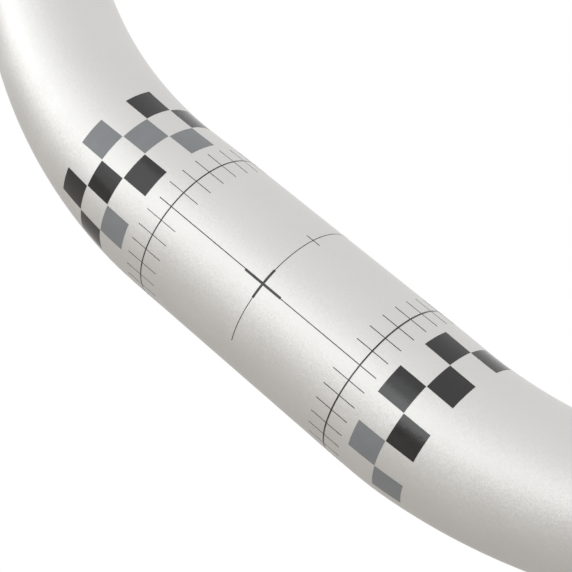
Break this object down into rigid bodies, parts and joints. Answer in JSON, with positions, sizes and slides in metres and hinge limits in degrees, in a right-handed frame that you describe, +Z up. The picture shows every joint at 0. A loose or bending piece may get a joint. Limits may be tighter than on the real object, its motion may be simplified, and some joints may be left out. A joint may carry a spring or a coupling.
{
  "type": "mountain bike handlebar",
  "caption": "Riser handlebar for a mountain bike: a straight clamp, bends that climb and level out, and open tube ends for grips that sweep up and back; printed checks and clamp marks.",
  "frame": {"origin": "middle of the stem clamp, on its axis", "axes": "+X along the clamp axis, towards the right of the printed front; -Y towards the front of the bicycle, the way the middle mark faces; +Z up, the way the bar rises"},
  "size_m": [0.7834, 0.0704, 0.0773],
  "materials": {
    "blasted_aluminium": "fine bead-blasted, silver anodised",
    "black_print": "satin printed ink",
    "grey_print": "satin printed ink"
  },
  "bodies": {
    "root": {"handlebar": "blasted_aluminium"}
  },
  "joints": []
}
